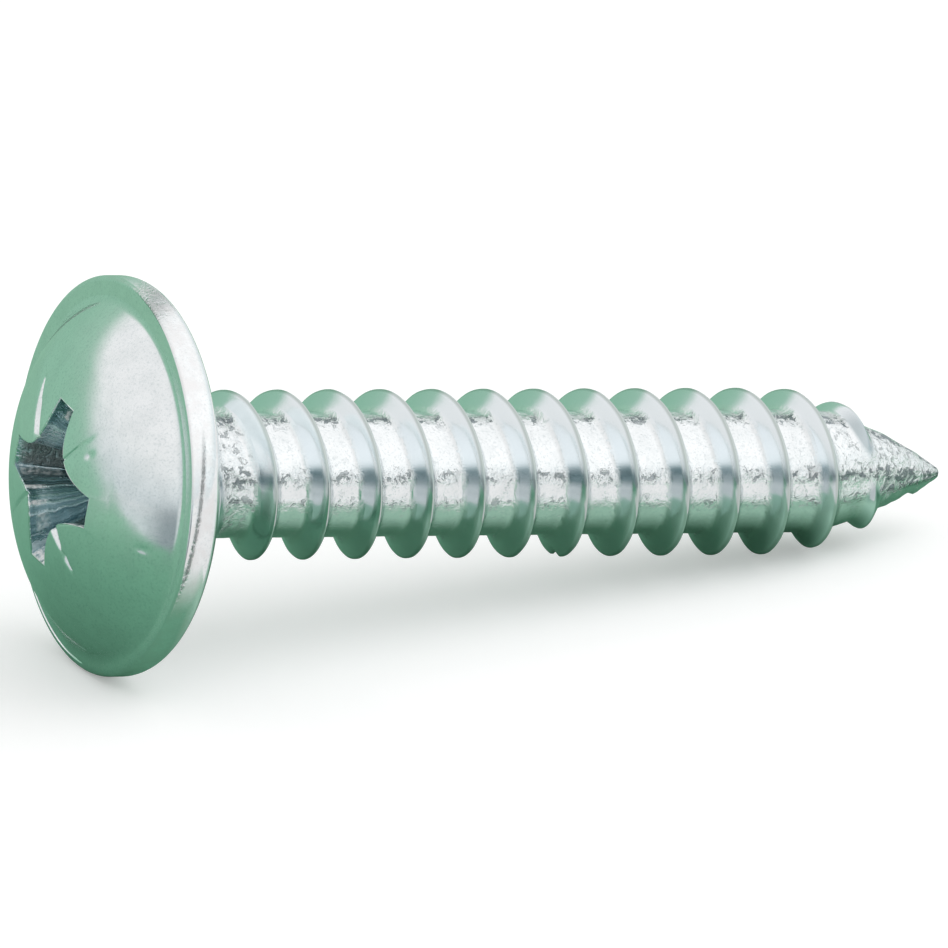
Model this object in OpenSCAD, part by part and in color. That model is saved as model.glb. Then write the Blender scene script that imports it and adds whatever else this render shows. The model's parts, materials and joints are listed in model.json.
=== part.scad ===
// Collar-head tapping screw with a cross recess, lying on its collar and its point.
// The screw is drawn along +X from its bearing face, and the last step lays it down.

/* [Head] */
// Diameter of the collar
collar_d = 10.9; // [9.9:0.1:13]
// Thickness of the collar
collar_t = 1.05; // [0.9:0.05:1.6]
// Rounding of the collar's edge towards the dome
collar_front_r = 0.25; // [0.1:0.05:0.3]
// Rounding of the collar's edge towards the bearing face
collar_back_r = 0.55; // [0.2:0.05:0.6]
// Diameter of the dome where it meets the collar
dome_d = 9.7; // [9:0.1:10]
// Height of the dome above the collar
dome_h = 1.93; // [1.6:0.05:2.2]
// Radius of the dome's crown
crown_r = 8.0; // [7.4:0.1:9]
// Radius of the dome's shoulder
shoulder_r = 4.1; // [3:0.1:4.4]
// Radius of the hollow between the bearing face and the shank
neck_r = 0.7; // [0.65:0.05:0.9]

/* [Recess] */
// Span over two opposite wings, where they come out of the dome
recess_span = 4.55; // [4:0.05:5]
// Width of a wing at its tip
wing_w = 0.87; // [0.6:0.05:1.0]
// Distance from the axis to the hollow corner between two wings
corner_r = 1.34; // [1.1:0.02:1.5]
// Depth of the wings below the level at which they come out of the dome
recess_depth = 2.0; // [1.6:0.05:2.2]
// Share of the section that is left at the bottom of the wings
recess_taper = 0.44; // [0.35:0.01:0.6]
// Turn of the recess about the axis, in degrees
recess_turn = 5; // [0:1:45]
// Outer end of the four marks between the wings, from the axis
mark_r = 2.72; // [2.3:0.05:3.2]
// Width of a mark
mark_w = 0.22; // [0.1:0.02:0.3]

/* [Thread] */
// Diameter over the thread
thread_d = 4.66; // [4.4:0.02:4.8]
// Diameter of the core
root_d = 3.44; // [3.2:0.02:3.7]
// Pitch of the single start, right-hand thread
pitch = 1.6; // [1.4:0.05:1.8]
// Flat on the crest
crest_w = 0.12; // [0.06:0.02:0.2]
// Angle between the two flanks
flank_angle = 60; // [50:1:65]
// Distance from the bearing face to the thread's start, on the top side
thread_from = 1.15; // [1:0.05:1.5]
// Turns over which the thread rises from the core under the head
rise_turns = 0.6; // [0.3:0.1:1]
// Turns over which the thread runs out into the point
fall_turns = 0.5; // [0.3:0.1:1]

/* [Point] */
// Length from the bearing face to the tip
length = 25.3; // [19:0.1:32]
// Length of the tapered core
core_taper = 4.5; // [4:0.1:6]
// Length over which the crest falls
crest_taper = 5.2; // [4.8:0.1:7]
// Fullness of the core's curve, where 1 is a plain cone
core_fullness = 1.5; // [1.1:0.1:2]
// Fullness of the crest's curve, where 1 is a plain cone
crest_fullness = 2; // [1.1:0.1:2.2]
// Radius of the blunt tip
tip_r = 0.1; // [0.08:0.02:0.3]

/* [Hidden] */

collar_r = collar_d / 2;
dome_r = dome_d / 2;
thread_r = thread_d / 2;
root_r = root_d / 2;
head_h = collar_t + dome_h;

// Round edges of the head are true arcs, and the thread has this many steps a turn.
$fn = 96;
steps = 48;

// The shank starts this far inside the head, so that the two are one piece.
sunk = 0.1;

// The dome is a crown arc that runs smoothly into a shoulder arc. Heights grow from
// the bearing face towards the crown, and radii from the axis.
crown_z = head_h - crown_r;
base_dist = norm([dome_r, collar_t - crown_z]);
arc_gap = crown_r - shoulder_r;
base_angle = atan2(dome_r, collar_t - crown_z);
swing = acos((pow(arc_gap, 2) + pow(base_dist, 2) - pow(shoulder_r, 2)) / (2 * arc_gap * base_dist));
blend_angle = base_angle - swing;
shoulder_at = [arc_gap * sin(blend_angle), crown_z + arc_gap * cos(blend_angle)];
// The line through both centres parts the two arcs, from inside the collar outwards. The
// shoulder reaches a little past it and is a hair larger, so that the arcs cross cleanly.
lap_angle = 2;
hair = 0.00005;
function split_in(a) = let (b = blend_angle - a) [(collar_t / 2 - crown_z) * tan(b), collar_t / 2];
function split_out(a) = let (b = blend_angle - a) 2 * crown_r * [sin(b), cos(b)] + [0, crown_z];

module crown_sector() {
    intersection() {
        translate([0, crown_z]) circle(r = crown_r);
        polygon([[0, collar_t / 2], [0, split_out(0).y], split_out(0), split_in(0)]);
    }
}

module shoulder_sector() {
    intersection() {
        translate(shoulder_at) circle(r = shoulder_r + hair);
        polygon([
            split_in(lap_angle),
            split_out(lap_angle),
            [split_out(0).x, collar_t],
            [dome_r, collar_t],
            [dome_r, collar_t / 2]
        ]);
    }
}

// Outline of the collar with its two rounded edges.
module collar_outline() {
    difference() {
        square([collar_r, collar_t]);
        difference() {
            translate([collar_r - collar_back_r, -1]) square([collar_back_r + 1, collar_back_r + 1]);
            translate([collar_r - collar_back_r, collar_back_r]) circle(r = collar_back_r);
        }
        difference() {
            translate([collar_r - collar_front_r, collar_t - collar_front_r]) square(collar_front_r + 1);
            translate([collar_r - collar_front_r, collar_t - collar_front_r]) circle(r = collar_front_r);
        }
    }
}

// The hollow neck dips a little under the core, so that the core comes out of it.
neck_dip = 0.05;
module neck_outline() {
    difference() {
        translate([0, -neck_r]) square([root_r + neck_r - neck_dip, neck_r + collar_t / 2]);
        translate([root_r + neck_r - neck_dip, -neck_r]) circle(r = neck_r);
    }
}

module head() {
    rotate([0, -90, 0]) rotate_extrude() {
        crown_sector();
        shoulder_sector();
        collar_outline();
        neck_outline();
    }
}

// The recess has four wings with square ends. From one wing to the next, its side is a
// hyperbola through both tips and the hollow corner, on lines this far from the axis.
wing_r = recess_span / 2;
wing_h = wing_w / 2;
corner_at = corner_r / sqrt(2);
line_at = (pow(corner_at, 2) - wing_r * wing_h) / (2 * corner_at - wing_r - wing_h);
side_steps = 8;
function side_points(k) = [
    for (i = [0:side_steps])
        let (
            a = 90 * k,
            x = line_at + (wing_r - line_at) * pow((wing_h - line_at) / (wing_r - line_at), i / side_steps),
            y = line_at + (wing_r - line_at) * (wing_h - line_at) / (x - line_at)
        )
        [x * cos(a) - y * sin(a), x * sin(a) + y * cos(a)]
];

// Height of the dome's surface at a distance from the axis, on its crown.
function crown_at(r) = crown_z + sqrt(crown_r * crown_r - r * r);

// The wings narrow with depth. Above the dome the section grows at the same slope, so that
// it cuts clean through the crown.
over = 0.6;
slope = (1 - recess_taper) / recess_depth;

// A cone deepens the middle of the floor by this much. It stays clear of the sides.
bottom_h = 0.3;
bottom_r = 0.8 * corner_r * recess_taper;

module recess() {
    mouth = 1 + slope * over;
    translate([-crown_at(wing_r) + recess_depth, 0, 0]) rotate([0, -90, 0]) {
        linear_extrude(height = recess_depth + over, scale = mouth / recess_taper)
            scale(recess_taper) polygon([for (k = [0:3]) each side_points(k)]);
        translate([0, 0, -bottom_h]) cylinder(r1 = 0, r2 = bottom_r, h = bottom_h);
    }
}

// One mark is a notch with its edge down, along the chord of the crown. It starts
// inside the recess, at this share of the corner's distance from the axis.
mark_start = 0.8;
module mark() {
    from = corner_r * mark_start;
    rise = crown_at(mark_r) - crown_at(from);
    reach = mark_r - from;
    translate([-crown_at(from), 0, from])
        rotate([0, -atan2(reach, rise), 0])
            rotate([45, 0, 0])
                cube([norm([reach, rise]), mark_w / sqrt(2), mark_w / sqrt(2)]);
}

// The thread's section over one pitch, as places along the axis and shares of its height.
flank = (thread_r - root_r) * tan(flank_angle / 2);
tooth = [
    [-crest_w / 2 - flank, 0],
    [-crest_w / 2, 1],
    [crest_w / 2, 1],
    [crest_w / 2 + flank, 0]
];
rows = len(tooth);
// The thread ends this far before the tip, where the core is still wider than nothing.
tip_clear = 0.1;
turns = floor((length - tip_clear - thread_from + crest_w / 2 + flank) / pitch) - 1;
last = rows * turns;

// Share of a size that is left at the place s on the point. The curves would come down
// to nothing a little past the tip, and the blunt tip cuts them off before.
past_tip = 0.25;
function left(s, taper, fullness) =
    1 - pow(min(1, max(0, s - length + taper) / (taper + past_tip)), fullness);
function core_r(s) = root_r * left(s, core_taper, core_fullness);
function crest_r(s) = max(core_r(s), thread_r * left(s, crest_taper, crest_fullness));

// A point of the shank at the place x, with its radius and its turn from the top.
function around(x, r, a) = [x, -r * sin(a), r * cos(a)];
function height(t) = min(1, t / rise_turns, (turns - t) / fall_turns);
function shank_point(m, i) =
    let (
        t = m / steps + floor(i / rows),
        s = thread_from + pitch * t + tooth[i % rows].x,
        h = tooth[i % rows].y * height(t)
    )
    around(s, core_r(s) + h * (crest_r(s) - core_r(s)), 360 * m / steps);

grid = [for (m = [0:steps - 1]) for (i = [0:last]) shank_point(m, i)];
start_ring = [for (m = [0:steps - 1]) around(-sunk, root_r, 360 * m / steps)];
tip_ring = [for (m = [0:steps - 1]) around(length, tip_r, 360 * m / steps)];

// Places of the points in the list. After a full turn the next column is the first
// one again, one pitch further on.
function at(m, i) = m < steps ? m * (last + 1) + i : i + rows;
function at_start(m) = steps * (last + 1) + m % steps;
function at_tip(m) = steps * (last + 2) + m % steps;

wall = [
    for (m = [0:steps - 1])
        for (i = [0:last - 1 - (m == steps - 1 ? rows : 0)])
            each [[at(m, i), at(m, i + 1), at(m + 1, i)], [at(m + 1, i), at(m, i + 1), at(m + 1, i + 1)]]
];
first_wall = [
    for (m = [0:steps - 1])
        [at_start(m), at(m, 0), at_start(m + 1)],
    for (m = [0:steps - 2])
        [at_start(m + 1), at(m, 0), at(m + 1, 0)],
    for (i = [-1:rows - 1])
        [i < 0 ? at_start(0) : at(0, i), at(steps - 1, 0), at(0, i + 1)]
];
last_wall = [
    for (m = [0:steps - 1])
        [at(m, last), at_tip(m), at_tip(m + 1)],
    for (m = [0:steps - 2])
        [at(m, last), at_tip(m + 1), at(m + 1, last)],
    for (i = [last - rows:last - 1])
        [at(steps - 1, i), at(steps - 1, i + 1), at_tip(0)],
    [at(steps - 1, last - rows), at_tip(0), at(0, last)]
];
start_cap = [[for (m = [0:steps - 1]) at_start(m)]];
tip_cap = [[for (m = [steps - 1:-1:0]) at_tip(m)]];

module shank() {
    polyhedron(
        points = concat(grid, start_ring, tip_ring),
        faces = concat(wall, first_wall, last_wall, start_cap, tip_cap),
        convexity = 10
    );
}

// At rest the collar's rim and the lowest crest stand on the ground. This is the tilt at
// which a point of the underside, at x and r, comes down as low as the rim.
function tilt_at(x, r) =
    let (along = x + collar_back_r, drop = collar_r - collar_back_r - r)
    asin(collar_back_r / norm([along, drop])) + atan2(drop, along);
undersides = [
    for (k = [0:turns - 1])
        for (i = [1, 2])
            let (p = shank_point(steps / 2, rows * k + i)) [p.x, norm([p.y, p.z])]
];
tilt = min([for (u = undersides) tilt_at(u.x, u.y)]);
axis_z = (collar_r - collar_back_r) * cos(tilt) - collar_back_r * sin(tilt) + collar_back_r;
crown_reach = crown_r - (crown_r - head_h) * cos(tilt);
tip_reach = length * cos(tilt) + tip_r * sin(tilt);

module screw() {
    color([0.74, 0.79, 0.78])
        translate([(crown_reach - tip_reach) / 2, 0, axis_z])
            rotate([0, tilt, 0]) {
                difference() {
                    head();
                    rotate([recess_turn, 0, 0]) {
                        recess();
                        for (k = [0:3]) rotate([45 + 90 * k, 0, 0]) mark();
                    }
                }
                shank();
            }
}

screw();
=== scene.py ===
import json
import math

import bmesh
import bpy
from mathutils import Matrix, Quaternion, Vector, noise


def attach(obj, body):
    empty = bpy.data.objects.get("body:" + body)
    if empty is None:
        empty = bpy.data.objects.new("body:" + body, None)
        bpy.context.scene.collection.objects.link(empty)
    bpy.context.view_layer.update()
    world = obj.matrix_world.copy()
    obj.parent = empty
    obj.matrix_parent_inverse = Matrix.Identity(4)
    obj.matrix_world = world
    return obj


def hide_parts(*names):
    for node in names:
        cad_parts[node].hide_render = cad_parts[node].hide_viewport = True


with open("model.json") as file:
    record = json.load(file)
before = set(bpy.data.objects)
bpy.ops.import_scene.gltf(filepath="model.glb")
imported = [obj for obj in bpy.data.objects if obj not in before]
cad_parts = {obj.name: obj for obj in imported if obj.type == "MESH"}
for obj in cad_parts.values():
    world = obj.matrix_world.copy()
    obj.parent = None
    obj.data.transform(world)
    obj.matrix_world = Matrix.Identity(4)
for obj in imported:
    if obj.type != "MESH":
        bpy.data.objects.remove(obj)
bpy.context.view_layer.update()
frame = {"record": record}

# The camera stands a third of a metre away, to the left of the head and a little above,
# and looks along the screw with a long lens, so that the thread is hardly foreshortened.
camera_place = Vector((-0.14121, -0.27545, 0.1116))
camera_aim = Vector((-0.00071, 0.0, 0.00377))
camera_roll = math.radians(0.2)
long_lens = bpy.data.cameras.new("long_lens")
long_lens.sensor_width = 36
long_lens.lens = 451
long_lens.clip_start = 0.01
long_lens.clip_end = 10
camera = bpy.data.objects.new("camera", long_lens)
camera.location = camera_place
level_look = (camera_aim - camera_place).to_track_quat("-Z", "Y")
camera.rotation_euler = (level_look @ Quaternion((0, 0, 1), camera_roll)).to_euler()
bpy.context.scene.collection.objects.link(camera)
bpy.context.scene.camera = camera
bpy.context.scene.view_settings.view_transform = "Standard"

# The shank: hardened steel wire with a coarse right-hand thread rolled on it up to a pitch
# from the head, and a point rolled at its end. The screw is drawn in millimetres along +X
# from its bearing face, with each angle as a turn from the top towards the camera's side.
root_r, thread_r, pitch = 1.72, 2.33, 1.6
thread_from, laps = 1.15, 14
rise_turns, fall_turns = 0.6, 0.5
crest_half, crest_flat, fillet = 0.045, 0.018, 0.06
length, tip_r = 25.2, 0.05
core_taper, crest_taper = 4.4, 5.5
core_fullness, crest_fullness = 1.5, 1.8
past_tip = 0.25
shank_start = 0.62
steps = 144


def spot(x, r, angle, up=0.0, side=0.0):
    """A point at a distance from the axis; up and side move the axis itself."""
    return Vector((x, -r * math.sin(angle) - side, r * math.cos(angle) + up))


def mix(a, b, share):
    return a + (b - a) * share


def ease(share):
    share = min(1.0, max(0.0, share))
    return share * share * (3 - 2 * share)


def bell(off):
    return math.exp(-(off**2))


def past(angle, degrees):
    """How many degrees an angle lies past a given place round the axis, from -180 to 180."""
    return (math.degrees(angle) - degrees + 180) % 360 - 180


# One pitch of the thread's section: places along the axis and shares of the tooth's height.
flank = (thread_r - root_r) * math.tan(math.radians(30))
foot = crest_half + flank
section = [(-foot - fillet, 0.0), (-foot, 0.035), (-foot + fillet, 0.17)]
section += [(-mix(foot, crest_half, k / 6), k / 6) for k in range(2, 6)]
section += [(-crest_half, 0.965), (-crest_flat, 1.0), (crest_flat, 1.0), (crest_half, 0.965)]
section += [(mix(foot, crest_half, k / 6), k / 6) for k in range(5, 1, -1)]
section += [(foot - fillet, 0.17), (foot, 0.035), (foot + fillet, 0.0)]
band_rows = 9
band = pitch - 2 * (foot + fillet)
section += [(foot + fillet + band * k / band_rows, 0.0) for k in range(1, band_rows + 1)]
first_x = thread_from + section[0][0]
last_row = len(section) - 1

bm = bmesh.new()
row_layer = bm.verts.layers.int.new("row")
winding_layer = bm.verts.layers.float.new("winding")
turn_layer = bm.verts.layers.float.new("turn")
recess_layer = bm.verts.layers.float.new("recess")
pit_layer = bm.verts.layers.float.new("pitting")
tooth_layer = bm.verts.layers.float.new("tooth")
reflection_band_layer = bm.verts.layers.float.new("reflection_band")
glint_and_darkening_layer = bm.verts.layers.float.new("glint_and_darkening")
rim_layer = bm.verts.layers.float.new("rim")

# One lap of the thread is spun from its section, and copied along the shank.
line = [bm.verts.new(spot(thread_from + x, mix(root_r, thread_r, h), 0.0)) for x, h in section]
for k, v in enumerate(line):
    v[row_layer] = k
chain = [bm.edges.new(pair) for pair in zip(line, line[1:])]
bmesh.ops.spin(
    bm,
    geom=line + chain,
    cent=(0, 0, 0),
    axis=(1, 0, 0),
    dvec=(pitch / steps, 0, 0),
    angle=2 * math.pi,
    steps=steps,
    use_merge=False,
    use_duplicate=False,
)
for v in bm.verts:
    v[winding_layer] = (v.co.x - thread_from - section[v[row_layer]][0]) / pitch
lap = bm.verts[:] + bm.edges[:] + bm.faces[:]
for k in range(1, laps):
    copied = bmesh.ops.duplicate(bm, geom=lap)["geom"]
    fresh = [g for g in copied if isinstance(g, bmesh.types.BMVert)]
    bmesh.ops.translate(bm, vec=(pitch * k, 0, 0), verts=fresh)
    for v in fresh:
        v[winding_layer] += k
bmesh.ops.remove_doubles(bm, verts=bm.verts, dist=0.004)


def grow(edges, place):
    """Draws an open edge of the skin out into a new row, where place says for each point."""
    made = bmesh.ops.extrude_edge_only(bm, edges=edges)["geom"]
    fresh = {g for g in made if isinstance(g, bmesh.types.BMVert)}
    for v in fresh:
        v.co = place(v)
    return [g for g in made if isinstance(g, bmesh.types.BMEdge) and fresh.issuperset(g.verts)]


def open_edges(keep):
    return [e for e in bm.edges if e.is_boundary and keep(e.verts[0]) and keep(e.verts[1])]


# The ends of the thread's skin run along a helix. Rows from there carry it on to a level
# ring, under the head and at the tip.
half_step = 0.5 / steps
edge = open_edges(lambda v: v[row_layer] == 0 and v[winding_layer] < 1 - half_step)
start_rows = 6
for k in range(1, start_rows + 1):
    def place(v, share=k / start_rows):
        x = mix(first_x + pitch * v[winding_layer], shank_start, share)
        return spot(x, root_r, 2 * math.pi * v[winding_layer])
    edge = grow(edge, place)
start_ring = edge
last_lap = laps - 1 + half_step
edge = open_edges(lambda v: v[row_layer] == last_row and v[winding_layer] > last_lap)
end_rows = 12
for k in range(1, end_rows + 1):
    def place(v, share=k / end_rows):
        x = mix(first_x + pitch * (v[winding_layer] + 1), length, share)
        return spot(x, root_r, 2 * math.pi * v[winding_layer])
    edge = grow(edge, place)
end_ring = edge
for ring in (start_ring, end_ring):
    count = {}
    for e in ring:
        for v in e.verts:
            count[v] = count.get(v, 0) + 1
    loose = [v for v in count if count[v] == 1]
    ring += bmesh.ops.contextual_create(bm, geom=loose)["edges"]
level = set(start_ring + end_ring)
gap = [e for e in bm.edges if e.is_boundary and e not in level]
gap += [ring[-1] for ring in (start_ring, end_ring)]
bmesh.ops.holes_fill(bm, edges=gap, sides=0)

# Folds and pits of the rolled wire lie in six lines along it, given by degrees, half width
# and depth. They grow towards the point, and the wire is rough close under the head too.
fold_lines = [
    (14, 8, 1.0),
    (76, 7, 0.75),
    (101, 6, 0.5),
    (170, 9, 0.8),
    (235, 8, 0.7),
    (300, 9, 0.8),
]
fold_deep, least_rough, most_rough = 0.03, 0.08, 1.4
worked_from, worked_over, worked_more = 15, 9, 0.5
head_end, head_over, head_rough = 3.0, 0.9, 0.5
point_from, point_over, point_rough = 19, 4, 0.42
smooth_from, smooth_to, smooth_fade, smooth_share = 96, 240, 12, 0.8
cone_from, cone_at, cone_width, cone_rough = 22.4, 86, 18, 0.5
ridge_scale, ridge_sharp, patch_scale = 3.1, 2.6, 2.2


def pitting(x, angle):
    """How rough the wire's surface is at a place; 1 is fully pitted."""
    degrees = math.degrees(angle) % 360
    more = 1 + worked_more * ease((x - worked_from) / worked_over)
    rough = least_rough + head_rough * ease((head_end - x) / head_over)
    for line_at, width, strength in fold_lines:
        rough += strength * more * bell(past(angle, line_at) / width)
    smooth = smooth_share * ease(min(degrees - smooth_from, smooth_to - degrees) / smooth_fade)
    cone = cone_rough * ease(x - cone_from) * bell(past(angle, cone_at) / cone_width)
    rough += ease((x - point_from) / point_over) * (point_rough * (1 - smooth) + cone)
    return min(most_rough, rough)


def crinkle(point):
    """Ridged noise, from 0 on the smooth surface to 1 at the bottom of a fold."""
    ridge = 1 - abs(noise.noise(point * ridge_scale)) * ridge_sharp
    patch = noise.noise(point * patch_scale + Vector((7, 3, 1)))
    return max(0.0, ridge) * ease(0.4 + patch * 3)


# Along the flanks runs a painted dark reflection: a stripe with a fainter band below it. On the
# last turn it is wide.
reflection_at, reflection_width, reflection_share, reflection_varies = 77, 6.5, 0.92, 0.4
tail_share, tail_rise, tail_end, tail_fade = 0.24, 8, 34, 10
last_turn, last_over, last_share, last_before, last_rise = 12.9, 0.2, 0.55, -80, 30


def reflection_band(turns, angle):
    off = past(angle, reflection_at)
    ending = ease((tail_end - off) / tail_fade)
    varied = reflection_share + reflection_varies * noise.noise(Vector((turns * 3, 0, 0)))
    tail = tail_share * ease(off / tail_rise) * ending
    last = last_share * ease((turns - last_turn) / last_over) * ending
    last *= ease((off - last_before) / last_rise)
    return max(tail, bell(off / reflection_width) * varied, last)


# The rolled shape: the core and the crest come down to the point along full curves, the
# tooth rises out of the core under the head and runs out in the point, and the tip is bent.
# The last turn is flattened, one crest is nicked and the point has lumps and a burr. Pits
# and lumps fade out at the join of the skin past the last turn.
wave_high, wave_along, wave_round = 0.012, 0.9, 3
dent_turn, dent_width, dent_deep = 13.2, 0.1, 0.97
lump_from, lump_over, lump_high, lump_scale = 22.4, 1.2, 0.07, 2.4
burr_x, burr_long, burr_at, burr_wide, burr_high = 24.4, 0.12, 160, 0.5, 0.08
nick_turn, nick_width, nick_deep = 7.47, 0.012, 0.16
bend_from, bend_rate = 22.5, 0.0125
join_x, join_width = first_x + pitch * laps - 0.1, 9


def left(x, taper, fullness):
    """The share of a radius that the point's taper leaves at a place."""
    return 1 - min(1.0, max(0.0, x - length + taper) / (taper + past_tip)) ** fullness


for v in bm.verts:
    x = v.co.x
    angle = math.atan2(-v.co.y, v.co.z)
    share = (math.hypot(v.co.y, v.co.z) - root_r) / (thread_r - root_r)
    turn = angle / (2 * math.pi)
    turns = round((x - thread_from) / pitch - turn) + turn
    height = max(0.0, min(1.0, turns / rise_turns, (laps - turns) / fall_turns))
    height *= 1 - dent_deep * bell((turns - dent_turn) / dent_width)
    stands = share * height

    core = root_r * left(x, core_taper, core_fullness)
    crest = max(core, thread_r * left(x, crest_taper, crest_fullness))
    round_place = (wave_round * math.cos(angle), wave_round * math.sin(angle))
    wave = wave_high * noise.noise(Vector((x * wave_along, *round_place)))
    r = core + stands * (crest + wave - core)

    calm = ease(abs(math.degrees(angle)) / join_width) if x > join_x else 1.0
    rough = pitting(x, angle)
    fold = fold_deep * rough * ease(1 - stands * 5) * crinkle(spot(x, max(r, 0.3), angle))
    r -= calm * fold * ease((x - shank_start) * 8)
    lumpiness = lump_high * ease((x - lump_from) / lump_over)
    lump = lumpiness * noise.noise(spot(x, r, angle) * lump_scale)
    burr_off = math.radians(past(angle, burr_at)) / burr_wide
    lump += burr_high * bell((x - burr_x) / burr_long) * bell(burr_off)
    r = max(tip_r * 0.8, r + calm * lump * ease(1 - stands * 4))
    r -= nick_deep * ease(share * 2 - 0.9) * bell((turns - nick_turn) / nick_width)

    v.co = spot(x, r, angle, up=-bend_rate * max(0.0, x - bend_from) ** 2)
    v[pit_layer] = rough * ease(1 - stands * 3)
    v[tooth_layer] = stands
    # The painted dark reflection band on the flanks.
    v[reflection_band_layer] = reflection_band(turns, angle)

# The tip is blunt: its last ring is drawn in over a small round and closed. Each step is
# given by the share of the ring before it that is left, and by how far on it lies.
tip_rounds = [(0.8, 0.25), (0.45 / 0.8, 0.2), (0.1 / 0.45, 0.05)]
edge = end_ring
tip_up = -bend_rate * (length - bend_from) ** 2
for shrunk, onward in tip_rounds:
    def place(v, shrunk=shrunk, onward=onward):
        centre = Vector((v.co.x, 0, tip_up))
        return centre + (v.co - centre) * shrunk + Vector((tip_r * onward, 0, 0))
    edge = grow(edge, place)
tip_verts = list({v for e in edge for v in e.verts})
tip_centre = sum((v.co for v in tip_verts), Vector()) / len(tip_verts)
bmesh.ops.pointmerge(bm, verts=tip_verts, merge_co=tip_centre)

# The head is cold-headed on the wire: a hollow neck, a flat bearing face, a collar with two
# rounded edges and a dome of two arcs. It was pressed a little off the wire's axis.
collar_r, collar_t = 5.45, 1.05
front_round, far_round, back_round = 0.08, 0.09, 0.55
dome_r, dome_h = 4.85, 1.93
crown_r, shoulder_r = 8.0, 4.1
neck_r = 0.55
crown_x = -(collar_t + dome_h)
dome_up, dome_side = -0.064, 0.063

base_gap = crown_x + crown_r + collar_t
base_dist = math.hypot(dome_r, base_gap)
arc_gap = crown_r - shoulder_r
swing = math.acos((arc_gap**2 + base_dist**2 - shoulder_r**2) / (2 * arc_gap * base_dist))
blend_angle = math.atan2(dome_r, base_gap) - swing
shoulder_x = crown_x + crown_r - arc_gap * math.cos(blend_angle)
shoulder_off = arc_gap * math.sin(blend_angle)
blend_r = crown_r * math.sin(blend_angle)


def dome_x(r):
    if r <= blend_r:
        return crown_x + crown_r - math.sqrt(crown_r**2 - r * r)
    return shoulder_x - math.sqrt(max(0.0, shoulder_r**2 - (r - shoulder_off) ** 2))


# Dents in the dome: distance from its axis, degrees, half length, half width and depth. A
# long shallow seam runs aslant near its base, and is painted dark inside with shade.
dents = [(4.18, 99.5, 0.14, 0.05, 0.035), (2.42, 57, 0.12, 0.07, 0.03)]
seam_from, seam_to, seam_start_r, seam_end_r = -50, -14, 4.16, 4.8
seam_half, seam_deep, seam_shade = 0.055, 0.06, 0.75


def seam(r, angle):
    along_seam = (past(angle, 0) - seam_from) / (seam_to - seam_from)
    if not 0 < along_seam < 1:
        return 0.0
    off = (r - mix(seam_start_r, seam_end_r, along_seam)) / seam_half
    return math.sin(math.pi * along_seam) * bell(off)


def dent(r, angle):
    deep = seam_deep * seam(r, angle)
    for at, way_round, half_long, half_wide, depth in dents:
        side = at * math.radians(past(angle, way_round)) / half_wide
        deep += depth * bell((r - at) / half_long) * bell(side)
    return deep


# The collar's edge has a fold on the near side, painted dark with shade, which runs aslant from
# its middle to its front, and a darker, duller patch near its top. On the far side it is rounded
# further at the front, and a groove runs just inside it.
crease_from, crease_span, crease_start_x, crease_end_x = 58, 54, -0.64, -0.97
crease_half, crease_deep, crease_shade = 0.05, 0.03, 0.7
patch_at, patch_x, patch_lean, patch_width, patch_dark = 13, -0.75, 14, 8, 0.5
near_side, far_from, far_fade = 72, 50, 50
groove_from, groove_to, groove_fade = 172, 246, 16
groove_r, groove_half, groove_deep = 5.24, 0.03, 0.04
rim_r, rim_x = 5.4, -0.1


def crease(x, angle):
    along_crease = past(angle, crease_from) / crease_span
    if not 0 < along_crease < 1:
        return 0.0
    off = (x - mix(crease_start_x, crease_end_x, along_crease)) / crease_half
    return min(1.0, 4 * along_crease, 5 * (1 - along_crease)) * bell(off)


# A darker, rougher patch near the collar's top, leaning along it.
def dull_patch(x, angle):
    return patch_dark * bell((past(angle, patch_at) + patch_lean * (x - patch_x)) / patch_width)


def far_share(angle):
    return ease((abs(past(angle, near_side)) - far_from) / far_fade)


def groove(angle):
    degrees = math.degrees(angle) % 360
    return groove_deep * ease(min(degrees - groove_from, groove_to - degrees) / groove_fade)


# The recess is pressed into the dome: four wings with square ends, whose sides run from
# wing to wing along one hyperbola, and four notches at 45 degrees between them.
recess_turn = math.radians(5)
recess_up, recess_side = -0.09, 0.15
wing_reach, wing_half = 2.27, 0.43
waists = (0.15, 0.1, 0.38, 0.25)
recess_depth, recess_taper, floor_deep = 2.0, 0.44, 0.3
lip = 0.05
top_wing_lean = math.radians(4)
tip_corner = math.atan2(wing_half, wing_reach)
# The notches: degrees past the top wing, start, reach, widths before and after, depth.
notches = [
    (42, 1.2, 2.95, 0.05, 0.08, 0.05),
    (136, 1.2, 2.08, 0.26, 0.16, 0.13),
    (135, 2.12, 2.8, 0.1, 0.16, 0.1),
    (229, 0.8, 2.8, 0.06, 0.09, 0.06),
    (325, 1.2, 2.95, 0.34, 0.05, 0.17),
]
notch_start, notch_taper = 0.15, 0.9
# Painted glints and painted shade in the recess: turn and half width in degrees, depths,
# and tint, above 0 a painted glint and below 0 painted shade.
recess_glints_and_shade = [
    (180, 11, -0.1, 0.9, 1.0),
    (271, 11, 0.06, 1.35, -0.9),
    (287, 7, -0.1, 0.2, -1.0),
    (318, 22, -0.1, 0.45, 0.35),
    (257, 3.5, 0.0, 1.0, 0.75),
    (253, 2, 0.2, 1.3, -0.35),
    (240, 4, -0.1, 0.4, 1.0),
    (214, 4, -0.1, 0.35, 1.0),
    (199, 5, 0.1, 0.4, 0.6),
    (349, 5, 0.25, 0.6, 0.9),
    (4, 15, 0.1, 1.2, -0.5),
    (105, 9, -0.1, 0.03, 1.0),
    (80, 8, -0.1, 0.02, 0.6),
]
glint_side, glint_top, glint_bottom = 0.7, 0.08, 0.15


def leaned(turn):
    """The top wing was pressed a little aslant: a turn past it, as it came out."""
    off = (turn + math.pi) % (2 * math.pi) - math.pi
    return turn + top_wing_lean * max(0.0, 1 - abs(off) / (math.pi / 4))


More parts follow.
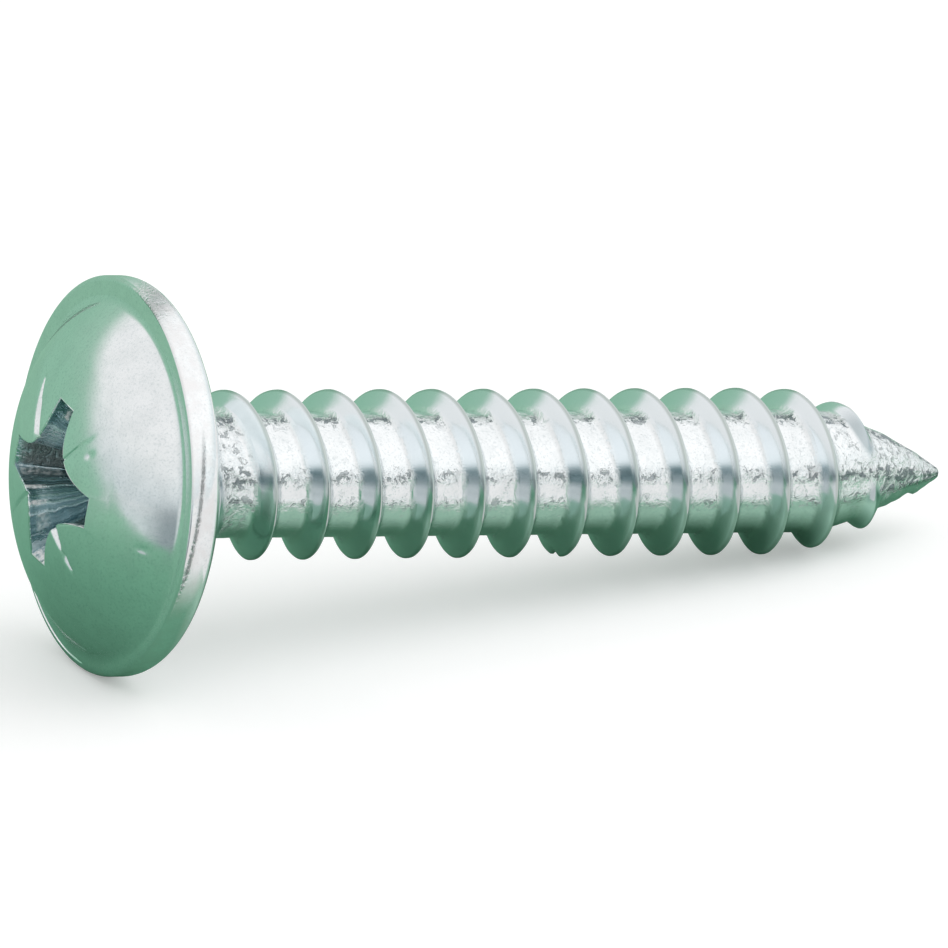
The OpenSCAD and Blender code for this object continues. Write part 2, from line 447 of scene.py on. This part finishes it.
def mouth(turn):
    """Distance from the recess's axis to its edge, a turn past the top wing."""
    waist = waists[int(turn % (2 * math.pi) / (math.pi / 2)) % 4]
    turn = abs((turn + math.pi / 4) % (math.pi / 2) - math.pi / 4)
    c, s = math.cos(turn), math.sin(turn)
    if s < 0.05:
        return wing_reach / c
    half = waist * (c + s)
    product = (wing_reach - waist) * (wing_half - waist)
    side = half + math.sqrt(half * half - 4 * s * c * (waist**2 - product))
    return min(wing_reach / c, side / (2 * s * c))


def notch(r, turn):
    deep = 0.0
    for at, start, reach, before, after, depth in notches:
        off = math.radians(past(leaned(turn), at))
        if abs(off) < math.pi / 4 and start < r < reach:
            across = r * math.sin(off)
            opening = math.sqrt(min(1.0, (reach - r) / notch_taper, (r - start) / notch_start))
            wide = (before if across < 0 else after) * opening
            deep = max(deep, depth * opening * max(0.0, 1 - abs(across) / wide))
    return deep


def glint_and_darkening(turn, depth):
    """The painted glint or painted shade in the recess at a place, from -1 (shade) to 1 (glint)."""
    total = 0.0
    for at, width, start, end, strength in recess_glints_and_shade:
        off = abs(past(turn, at))
        if off < width:
            inside = min(1.0, (width - off) * glint_side) * ease((depth - start) / glint_top)
            total += strength * inside * ease((end - depth) / glint_bottom + 1)
    return max(-1.0, min(1.0, total))


# The ring at the neck has twice the shank's columns, and they shift so that the ninth from
# the middle of a wing falls on its corner.
columns_to_corner = 9
bmesh.ops.subdivide_edges(bm, edges=start_ring, cuts=1)
edge = open_edges(lambda v: True)
corner_column = columns_to_corner * 2 * math.pi / (2 * steps)
for v in {v for e in edge for v in e.verts}:
    angle = math.atan2(-v.co.y, v.co.z)
    v.co = spot(shank_start, root_r, angle)
    off = (angle - recess_turn + math.pi / 4) % (math.pi / 2) - math.pi / 4
    near = abs(off)
    if near < corner_column:
        shifted = near * tip_corner / corner_column
    else:
        between = (near - corner_column) / (math.pi / 4 - corner_column)
        shifted = mix(tip_corner, math.pi / 4, between)
    v[turn_layer] = angle + math.copysign(shifted, off) - off - recess_turn
    v[row_layer] = 0
    v[pit_layer] = 0.0

# The rings of the head, from the neck over the collar to the dome: place, radius, how much of
# the dome's shift they take, and how far the wider rounding draws them back and inwards.
rings = []


def add_ring(x, r, shift=0, back=0, inwards=0):
    rings.append((x, r, shift, back, inwards))


neck_rings, bearing_rings, back_rings, edge_rings, front_rings, ledge_rings = 8, 4, 10, 12, 7, 3
for k in range(neck_rings + 1):
    a = math.pi / 2 * (1 - k / neck_rings)
    add_ring(neck_r * (1 - math.cos(a)), root_r + neck_r * (1 - math.sin(a)))
for k in range(1, bearing_rings + 1):
    add_ring(0, mix(root_r + neck_r, collar_r - back_round, k / bearing_rings))
for k in range(1, back_rings + 1):
    a = math.pi / 2 * k / back_rings
    add_ring(-back_round * (1 - math.cos(a)), collar_r - back_round * (1 - math.sin(a)))
for k in range(1, edge_rings + 1):
    share = k / edge_rings
    add_ring(mix(-back_round, front_round - collar_t, share), collar_r, back=share)
for k in range(1, front_rings + 1):
    a = math.pi / 2 * k / front_rings
    back, inwards = 1 - math.sin(a), 1 - math.cos(a)
    x, r = front_round * back - collar_t, collar_r - front_round * inwards
    add_ring(x, r, back=back, inwards=inwards)
for r in (groove_r + groove_half, groove_r, groove_r - groove_half):
    add_ring(-collar_t, r)
for k in range(1, ledge_rings + 1):
    share = k / ledge_rings
    add_ring(-collar_t, mix(groove_r - groove_half, dome_r + 0.15, share), shift=share)
add_ring(-collar_t - 0.01, dome_r + 0.09, shift=1)
add_ring(-collar_t - 0.03, dome_r + 0.04, shift=1)
dome_rings, zone_r = 36, 3.1
for k in range(1, dome_rings + 1):
    r = mix(dome_r, zone_r, k / dome_rings)
    add_ring(dome_x(r), r, shift=1)


def way(v):
    """The angle at which a point of the head lies."""
    return recess_turn + leaned(v[turn_layer])


for ring in rings:
    def place(v, ring=ring):
        x, r, shift, back, inwards = ring
        angle = way(v)
        on_rim = r > rim_r and x < rim_x
        on_dome = r < dome_r and x < -collar_t
        v[rim_layer] = 1.0 if on_rim else 0.0
        v[glint_and_darkening_layer] = 0.0
        deep, drawn_in = 0.0, 0.0
        if on_dome:
            deep = dent(r, angle)
            # Painted shade inside the seam.
            v[glint_and_darkening_layer] = -seam_shade * seam(r, angle)
        if on_rim:
            drawn_in = crease_deep * crease(x, angle)
            # Painted shade in the fold, and the darker patch near the top.
            v[glint_and_darkening_layer] = -crease_shade * crease(x, angle) - dull_patch(x, angle)
        if r == groove_r:
            deep = groove(angle)
        rounder = far_round * far_share(angle)
        x += deep + rounder * back
        r -= drawn_in + rounder * inwards
        return spot(x, r, angle, up=dome_up * shift, side=dome_side * shift)
    edge = grow(edge, place)

# Towards the recess the rings change from round to its outline, then turn over the lip and
# go down the walls to the hollow floor.
zone_rings = 18
for k in range(1, zone_rings + 1):
    def place(v, share=k / zone_rings):
        r = mix(zone_r, mouth(v[turn_layer]) + lip, share)
        up = mix(dome_up, recess_up, share)
        side = mix(dome_side, recess_side, share)
        x = dome_x(r) + notch(r, v[turn_layer]) + dent(r, way(v))
        v[glint_and_darkening_layer] = 0.0
        return spot(x, r, way(v), up=up, side=side)
    edge = grow(edge, place)
lip_rings = 3
for k in range(1, lip_rings + 1):
    def place(v, bend=math.pi / 2 * k / lip_rings):
        turn = v[turn_layer]
        v[recess_layer] = math.sin(bend)
        # Painted glints and painted shade over the lip.
        v[glint_and_darkening_layer] = glint_and_darkening(turn, 0.0) * math.sin(bend)
        r = mouth(turn) + lip * (1 - math.sin(bend))
        x = dome_x(r) + notch(r, turn) + lip * (1 - math.cos(bend))
        return spot(x, r, way(v), up=recess_up, side=recess_side)
    edge = grow(edge, place)
mouth_x = dome_x(wing_reach)
wall_rings = 18
for k in range(1, wall_rings + 1):
    def place(v, share=k / wall_rings):
        turn = v[turn_layer]
        v[recess_layer] = 1.0
        r = mouth(turn)
        x = mix(dome_x(r) + notch(r, turn) + lip, mouth_x + recess_depth, share)
        # Painted glints and painted shade down the walls.
        v[glint_and_darkening_layer] = glint_and_darkening(turn, share * recess_depth)
        r *= 1 - (1 - recess_taper) * max(0.0, x - mouth_x) / recess_depth
        return spot(x, r, way(v), up=recess_up, side=recess_side)
    edge = grow(edge, place)
for share in (0.75, 0.5, 0.25):
    def place(v, share=share):
        r = mouth(v[turn_layer]) * recess_taper * share
        x = mouth_x + recess_depth + floor_deep * (1 - share)
        return spot(x, r, way(v), up=recess_up, side=recess_side)
    edge = grow(edge, place)
floor_tip = spot(mouth_x + recess_depth + floor_deep, 0, 0, up=recess_up, side=recess_side)
edge = grow(edge, lambda v: floor_tip)
bmesh.ops.remove_doubles(bm, verts=list({v for e in edge for v in e.verts}), dist=0.001)

# The finished skin is turned the right way out, made metres, and laid down where the
# construction model's bearing face is.
bmesh.ops.recalc_face_normals(bm, faces=bm.faces)
bearing = next(m for m in frame["record"]["mounts"] if m["name"] == "bearing_face")
along = Vector(bearing["axis"]).normalized()
across = Vector((0, 1, 0))
lay_down = Matrix((along, across, along.cross(across))).transposed().to_4x4()
lay_down.translation = Vector(bearing["pos_m"])
bmesh.ops.transform(bm, matrix=lay_down @ Matrix.Scale(0.001, 4), verts=bm.verts)
screw_mesh = bpy.data.meshes.new("screw_body")
bm.to_mesh(screw_mesh)
bm.free()
screw_mesh.shade_smooth()
screw_mesh.set_sharp_from_angle(angle=math.radians(35))
screw = bpy.data.objects.new("screw_body", screw_mesh)
bpy.context.scene.collection.objects.link(screw)
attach(screw, "root")
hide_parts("screw")

# The finish: bright zinc plate, clear passivated. It is a little mottled, finely specked and dull
# in the pits, which are also painted dark with shade, and the recess keeps the punch's lines along
# its walls. Its colour also carries painted shade and painted highlights, in the recess, on the
# collar and on the thread.
zinc = bpy.data.materials.new("zinc_plate")
zinc.use_nodes = True
bright, dull, pit_shade = (0.93, 0.95, 0.955, 1), (0.87, 0.895, 0.90, 1), (0.3, 0.34, 0.36, 1)
rim_shade_tone, speck_tone, white = (0.87, 0.86, 0.86, 1), (0.66, 0.72, 0.73, 1), (1, 1, 1, 1)
flank_shade_tone, reflection_band_tone = (0.86, 0.90, 0.92, 1), (0.23, 0.31, 0.33, 1)
crest_shade_tone = (0.56, 0.62, 0.60, 1)
recess_shade_tone, punch_line_highlight, darkening_tone = (0.38, 0.50, 0.53, 1), (0.92, 0.97, 0.98, 1), (0.25, 0.28, 0.28, 1)
mottle_scale, grain_scale, crumple_scale, speck_scale, line_scale = 1.7, 8, 4.5, 14, 9
line_wave, pit_spread = 0.03, 0.075
polished, satin, pit_rough, darkened_rough, glint_rough = 0.12, 0.2, 0.15, 0.4, 0.3
grain_high, mottle_high, crumple_high = 0.0004, 0.0005, 0.12
pit_deep, line_high, darkened_high = 0.04, 0.06, 0.2


def add_node(tree, kind, inputs=None, **settings):
    """A node whose inputs are set, or joined where a socket is given."""
    made = tree.nodes.new(kind)
    for key, value in settings.items():
        setattr(made, key, value)
    for key, value in (inputs or {}).items():
        if isinstance(value, bpy.types.NodeSocket):
            tree.links.new(value, made.inputs[key])
        else:
            made.inputs[key].default_value = value
    return made


def spread(tree, value, low, high, to_low=0.0, to_high=1.0):
    """The value, mapped from one range to another and kept inside it."""
    given = {"Value": value, "From Min": low, "From Max": high, "To Min": to_low, "To Max": to_high}
    return add_node(tree, "ShaderNodeMapRange", given).outputs[0]


def blend(tree, share, a, b):
    made = add_node(tree, "ShaderNodeMix", {0: share, 6: a, 7: b}, data_type="RGBA")
    return made.outputs[2]


def calc(tree, operation, a, b):
    return add_node(tree, "ShaderNodeMath", {0: a, 1: b}, operation=operation).outputs[0]


def plus(tree, *values):
    total = values[0]
    for value in values[1:]:
        total = calc(tree, "ADD", total, value)
    return total


def times(tree, *values):
    total = values[0]
    for value in values[1:]:
        total = calc(tree, "MULTIPLY", total, value)
    return total


def cloudy(tree, scale, detail, **more):
    inputs = {"Scale": scale, "Detail": detail, **more}
    return add_node(tree, "ShaderNodeTexNoise", inputs).outputs[0]


def attribute(tree, name):
    return add_node(tree, "ShaderNodeAttribute", attribute_name=name).outputs["Fac"]


tree = zinc.node_tree
shader = tree.nodes["Principled BSDF"]
where = add_node(tree, "ShaderNodeTexCoord").outputs["Object"]
to_mm = {"Vector": where, "Scale": (1000, 1000, 1000)}
in_mm = add_node(tree, "ShaderNodeMapping", to_mm).outputs[0]
mottle = cloudy(tree, mottle_scale, 4, Vector=in_mm, Roughness=0.65)
grain = cloudy(tree, grain_scale, 2, Vector=in_mm)
crumple = cloudy(tree, crumple_scale, 4, Vector=in_mm, Roughness=0.7, Distortion=0.6)
speck = cloudy(tree, speck_scale, 2, Vector=in_mm)
pitted, inside, turned = (attribute(tree, name) for name in ("pitting", "recess", "turn"))
tooth, reflection_banded, glint_and_darkening_share, rim = (attribute(tree, name) for name in ("tooth", "reflection_band", "glint_and_darkening", "rim"))
wavy = plus(tree, turned, spread(tree, mottle, 0.3, 0.7, -line_wave, line_wave))
line_inputs = {"W": wavy, "Scale": line_scale, "Detail": 3}
punched = add_node(tree, "ShaderNodeTexNoise", line_inputs, noise_dimensions="1D").outputs[0]

tone = blend(tree, spread(tree, mottle, 0.42, 0.62), bright, dull)
tone = blend(tree, spread(tree, speck, 0.52, 0.72, 0, 0.55), tone, speck_tone)
cover = plus(tree, crumple, times(tree, pitted, pit_spread))
pit_mask = times(tree, calc(tree, "MINIMUM", pitted, 1.0), spread(tree, cover, 0.6, 0.65))
# Painted shade in the pits, where the metal is also rougher.
tone = blend(tree, pit_mask, tone, pit_shade)
# The collar's rim is painted a little darker and warmer in patches, a painted shade on its mirrored
# band.
rim_shade_share = times(tree, rim, spread(tree, mottle, 0.4, 0.62, 0.1, 1.0))
tone = blend(tree, rim_shade_share, tone, rim_shade_tone)
# The flanks take the painted dark reflection band, and flanks and crests are painted darker than the
# roots as painted shade.
flank_shading = blend(tree, reflection_banded, flank_shade_tone, reflection_band_tone)
tone = blend(tree, spread(tree, tooth, 0.12, 0.3), tone, flank_shading)
tone = blend(tree, spread(tree, tooth, 0.88, 0.97), tone, crest_shade_tone)
# The recess walls are painted dark with shade, and lighter along the punch's real lines as a painted
# highlight.
shaded_recess_walls = blend(tree, spread(tree, punched, 0.54, 0.68), recess_shade_tone, punch_line_highlight)
tone = blend(tree, spread(tree, inside, 0.6, 1.0), tone, shaded_recess_walls)
# Painted glints: bright places are painted white.
painted_glint = times(tree, glint_and_darkening_share, spread(tree, grain, 0.4, 0.56, 0.3, 1.0))
tone = blend(tree, spread(tree, painted_glint, 0.0, 1.0), tone, white)
# Darkened places: painted shade in the recess, the seam and the fold, and the darker patch on the
# collar.
darkening_share = spread(tree, glint_and_darkening_share, 0.0, -1.0)
darkening_mask = times(tree, darkening_share, spread(tree, grain, 0.66, 0.5, 0.5, 1.0))
tone = blend(tree, darkening_mask, tone, darkening_tone)
tree.links.new(tone, shader.inputs["Base Color"])
# Painted glints are made less metallic, so they stay white whatever they mirror.
tree.links.new(spread(tree, painted_glint, 0.3, 1.0, 1.0, 0.2), shader.inputs["Metallic"])

worn = plus(
    tree,
    spread(tree, mottle, 0.35, 0.65, polished, satin),
    times(tree, pit_mask, pit_rough),
    times(tree, darkening_mask, darkened_rough),
    spread(tree, glint_and_darkening_share, 0.0, 1.0, 0.0, glint_rough),
)
tree.links.new(worn, shader.inputs["Roughness"])
relief = plus(
    tree,
    times(tree, grain, grain_high),
    times(tree, mottle, mottle_high),
    times(tree, pitted, crumple, crumple_high),
    times(tree, pit_mask, -pit_deep),
    times(tree, inside, punched, line_high),
    times(tree, darkening_mask, crumple, darkened_high),
)
bump = add_node(tree, "ShaderNodeBump", {"Strength": 1.0, "Distance": 0.001, "Height": relief})
tree.links.new(bump.outputs[0], shader.inputs["Normal"])
screw_mesh.materials.append(zinc)

# The floor: plain white paper, which lies a hair under the screw and reaches far round it.
# It is lifted to white where the camera sees it, and a little in the screw's mirror images.
floor_z, floor_reach = -0.00002, 2.0
paper_tone, paper_rough = (0.8, 0.8, 0.8, 1), 0.9
seen_lift, mirrored_lift = 0.27, 0.04


def stage_piece(name, corners, material):
    """A flat board of the stage with its corners in metres."""
    made = bpy.data.meshes.new(name)
    flat = bmesh.new()
    flat.faces.new([flat.verts.new(c) for c in corners])
    flat.to_mesh(made)
    flat.free()
    made.materials.append(material)
    board = bpy.data.objects.new(name, made)
    bpy.context.scene.collection.objects.link(board)
    return board


paper = bpy.data.materials.new("white_paper")
paper.use_nodes = True
tree = paper.node_tree
paper_shader = tree.nodes["Principled BSDF"]
paper_shader.inputs["Base Color"].default_value = paper_tone
paper_shader.inputs["Roughness"].default_value = paper_rough
ray = add_node(tree, "ShaderNodeLightPath").outputs
seen, mirrored = ray["Is Camera Ray"], ray["Is Glossy Ray"]
lifted = plus(tree, times(tree, seen, seen_lift), times(tree, mirrored, mirrored_lift))
paper_shader.inputs["Emission Color"].default_value = white
tree.links.new(lifted, paper_shader.inputs["Emission Strength"])
square = [(-1, -1), (1, -1), (1, 1), (-1, 1)]
stage_piece("floor", [(x * floor_reach, y * floor_reach, floor_z) for x, y in square], paper)

# Sheets of mint green card lay round the real screw, and it mirrors them. The lying one is
# painted darker near the head and darkest under the shank, a painted shadow, and fades out in
# front of the collar. Only mirror images show the cards.
lying_z = -0.00001
near_shade_mint, far_mint = (0.14, 0.335, 0.225, 1), (0.25, 0.47, 0.34, 1)
shadow_mint, pale_mint = (0.11, 0.26, 0.17, 1), (0.36, 0.57, 0.45, 1)
head_place = (-0.013, 0, 0)
lying = [(0.03, -0.0046), (0.052, 0.1), (-0.55, 0.1), (-0.24, 0.07), (-0.059, -0.002)]
lying += [(-0.036, -0.0095), (-0.023, -0.013), (-0.0125, -0.0118), (-0.0075, -0.0108)]
lying += [(-0.0062, -0.0046)]


def mirrored_only(board):
    board.visible_camera = False
    board.visible_diffuse = False
    board.visible_shadow = False


def vector_calc(tree, operation, a, b=(0, 0, 0)):
    made = add_node(tree, "ShaderNodeVectorMath", {0: a, 1: b}, operation=operation)
    return made.outputs["Value" if operation in ("DISTANCE", "DOT_PRODUCT") else "Vector"]


def matt_card(tree, colour):
    """Gives a card its colour and a plain matt surface, which is handed back."""
    surface = tree.nodes["Principled BSDF"]
    tree.links.new(colour, surface.inputs["Base Color"])
    surface.inputs["Roughness"].default_value = 1.0
    surface.inputs["Specular IOR Level"].default_value = 0.0
    return surface.outputs[0]


mint_card = bpy.data.materials.new("mint_card")
mint_card.use_nodes = True
tree = mint_card.node_tree
where = add_node(tree, "ShaderNodeTexCoord").outputs["Object"]
parts = add_node(tree, "ShaderNodeSeparateXYZ", {0: where}).outputs
from_head = vector_calc(tree, "DISTANCE", where, head_place)
# Painted shade: the card is darker near the head.
mint = blend(tree, spread(tree, from_head, 0.005, 0.032), near_shade_mint, far_mint)
past_head = spread(tree, parts["X"], -0.011, -0.008)
# Painted shadow under the shank.
shadow_under = times(tree, past_head, spread(tree, parts["Y"], 0.011, 0.004))
mint = blend(tree, shadow_under, mint, shadow_mint)
front = times(tree, past_head, spread(tree, parts["Y"], -0.0004, -0.0024))
mint = blend(tree, front, mint, pale_mint)
behind_fade = spread(tree, parts["Y"], -0.0106, -0.0062)
left_of_fade = spread(tree, parts["X"], -0.0118, -0.0126)
mint = blend(tree, calc(tree, "MAXIMUM", behind_fade, left_of_fade), paper_tone, mint)
matt_card(tree, mint)
mirrored_only(stage_piece("lying_board", [(x, y, lying_z) for x, y in lying], mint_card))

# A second sheet of the mint card stands upright behind the screw, along the far end of the
# lying one. It glows with a painted light, brighter towards its top, and no lamp lights it. It is
# cut in a falling curve, and its upper edge and right end are soft.
stand_y, stand_left, stand_right, stand_top = 0.1, -0.55, 0.056, 0.13
stand_reach, stand_high, stand_soft, stand_fade = 5.5, 0.95, 0.15, 0.02
glow_low_mint, glow_high_mint = (0.27, 0.50, 0.37, 1), (0.36, 0.56, 0.45, 1)


def show_until(tree, gone, surface):
    """Fades a card's surface to nothing where gone is 1."""
    clear = add_node(tree, "ShaderNodeBsdfTransparent").outputs[0]
    shown = add_node(tree, "ShaderNodeMixShader", {0: gone, 1: surface, 2: clear}).outputs[0]
    tree.links.new(shown, tree.nodes["Material Output"].inputs["Surface"])


glowing_card =bpy.data.materials.new("glowing_card")
glowing_card.use_nodes = True
tree = glowing_card.node_tree
tree.nodes.remove(tree.nodes["Principled BSDF"])
where = add_node(tree, "ShaderNodeTexCoord").outputs["Object"]
parts = add_node(tree, "ShaderNodeSeparateXYZ", {0: where}).outputs
along_card = plus(tree, calc(tree, "DIVIDE", parts["X"], stand_y * stand_reach), 1.0)
falling = calc(tree, "POWER", calc(tree, "MAXIMUM", along_card, 0.0), 2.0)
high = calc(tree, "DIVIDE", parts["Z"], stand_y)
mint = blend(tree, spread(tree, high, 0.2, 0.9), glow_low_mint, glow_high_mint)
# The card glows: painted light, brighter towards its top.
glow = add_node(tree, "ShaderNodeEmission", {"Color": mint, "Strength": 1.0}).outputs[0]
over_edge = calc(tree, "SUBTRACT", high, times(tree, falling, stand_high))
above = spread(tree, over_edge, -stand_soft, stand_soft)
beyond = spread(tree, parts["X"], stand_right - stand_fade, stand_right)
show_until(tree, calc(tree, "MAXIMUM", above, beyond), glow)
ends = ((stand_left, 0.0), (stand_right, 0.0), (stand_right, stand_top), (stand_left, stand_top))
mirrored_only(stage_piece("standing_board", [(x, stand_y, z) for x, z in ends], glowing_card))

# A grey card lies in front, to the left, and a strip of it stands up at its darker end. The
# edge of the dome and the flanks of the thread mirror it.
low_z, strip_high = -0.000014, 0.016
picture_right, face_place = (0.8913, -0.4534, 0), (-0.013, -0.003, 0)
pale_grey, deep_grey = (0.62, 0.68, 0.69, 1), (0.28, 0.33, 0.35, 1)
low = [(-0.02, -0.005), (-0.24, 0.07), (-0.26, -0.02), (-0.12, -0.1), (-0.05, -0.1)]
low += [(-0.0185, -0.018)]
strip = [(-0.1, -0.02), (-0.052, -0.074)]
grey_card = bpy.data.materials.new("grey_card")
grey_card.use_nodes = True
tree = grey_card.node_tree
where = add_node(tree, "ShaderNodeTexCoord").outputs["Object"]
parts = add_node(tree, "ShaderNodeSeparateXYZ", {0: where}).outputs
flat_parts = {"X": parts["X"], "Y": parts["Y"], "Z": 0.0}
flat_place = add_node(tree, "ShaderNodeCombineXYZ", flat_parts).outputs[0]
from_face = vector_calc(tree, "SUBTRACT", flat_place, face_place)
to_right = vector_calc(tree, "DOT_PRODUCT", vector_calc(tree, "NORMALIZE", from_face), picture_right)
grey = blend(tree, spread(tree, to_right, -0.78, -0.52), pale_grey, deep_grey)
grey_surface = matt_card(tree, grey)
off_floor = spread(tree, parts["Z"], 0.0, 0.0005)
leftwards = spread(tree, to_right, -0.62, -0.8)
above = spread(tree, parts["Z"], 0.002, 0.014)
show_until(tree, calc(tree, "MAXIMUM", above, times(tree, off_floor, leftwards)), grey_surface)
mirrored_only(stage_piece("grey_board", [(x, y, low_z) for x, y in low], grey_card))
strip_heights = (0, 0, strip_high, strip_high)
strip_corners = [(x, y, z) for (x, y), z in zip(strip + strip[::-1], strip_heights)]
mirrored_only(stage_piece("grey_strip", strip_corners, grey_card))

# The tent round the screw is white overhead and a little greyer towards the horizon and the
# left. Only mirror images show that, and its light is even from all sides.
plain_light, tent_left, tent_right = (0.86, 0.86, 0.86, 1), 0.88, 1.12
tent_tones = [
    (0.0, (0.66, 0.73, 0.75, 1)),
    (0.17, (0.79, 0.84, 0.85, 1)),
    (0.34, (0.94, 0.96, 0.96, 1)),
    (0.6, (0.99, 0.995, 1.0, 1)),
]
world = bpy.data.worlds.new("soft_tent")
world.use_nodes = True
tree = world.node_tree
aim = add_node(tree, "ShaderNodeTexCoord").outputs["Generated"]
rise = add_node(tree, "ShaderNodeSeparateXYZ", {0: aim}).outputs["Z"]
ramp = add_node(tree, "ShaderNodeValToRGB", {0: rise})
first, last = ramp.color_ramp.elements
first.color = tent_tones[0][1]
last.position, last.color = tent_tones[-1]
for at, colour in tent_tones[1:-1]:
    ramp.color_ramp.elements.new(at).color = colour
to_right = vector_calc(tree, "DOT_PRODUCT", aim, picture_right)
sided = spread(tree, to_right, -0.6, 0.9, tent_left, tent_right)
scaled = {0: ramp.outputs[0], "Scale": sided}
tent = add_node(tree, "ShaderNodeVectorMath", scaled, operation="SCALE").outputs[0]
ray = add_node(tree, "ShaderNodeLightPath").outputs
lit = blend(tree, ray["Is Glossy Ray"], plain_light, tent)
background = tree.nodes["Background"]
tree.links.new(blend(tree, ray["Is Camera Ray"], lit, white), background.inputs["Color"])
background.inputs["Strength"].default_value = 1.0
bpy.context.scene.world = world

# One large soft lamp hangs above the floor on the side of the point. It adds to the tent's
# light from there, and the screw doesn't mirror it.
lamp_data = bpy.data.lights.new("soft_lamp", "AREA")
lamp_data.shape = "SQUARE"
lamp_data.size = 0.5
lamp_data.energy = 0.8
lamp = bpy.data.objects.new("soft_lamp", lamp_data)
lamp.location = (0.33, -0.13, 0.36)
lamp.visible_glossy = False
lamp.rotation_euler = (-lamp.location).to_track_quat("-Z", "Y").to_euler()
bpy.context.scene.collection.objects.link(lamp)
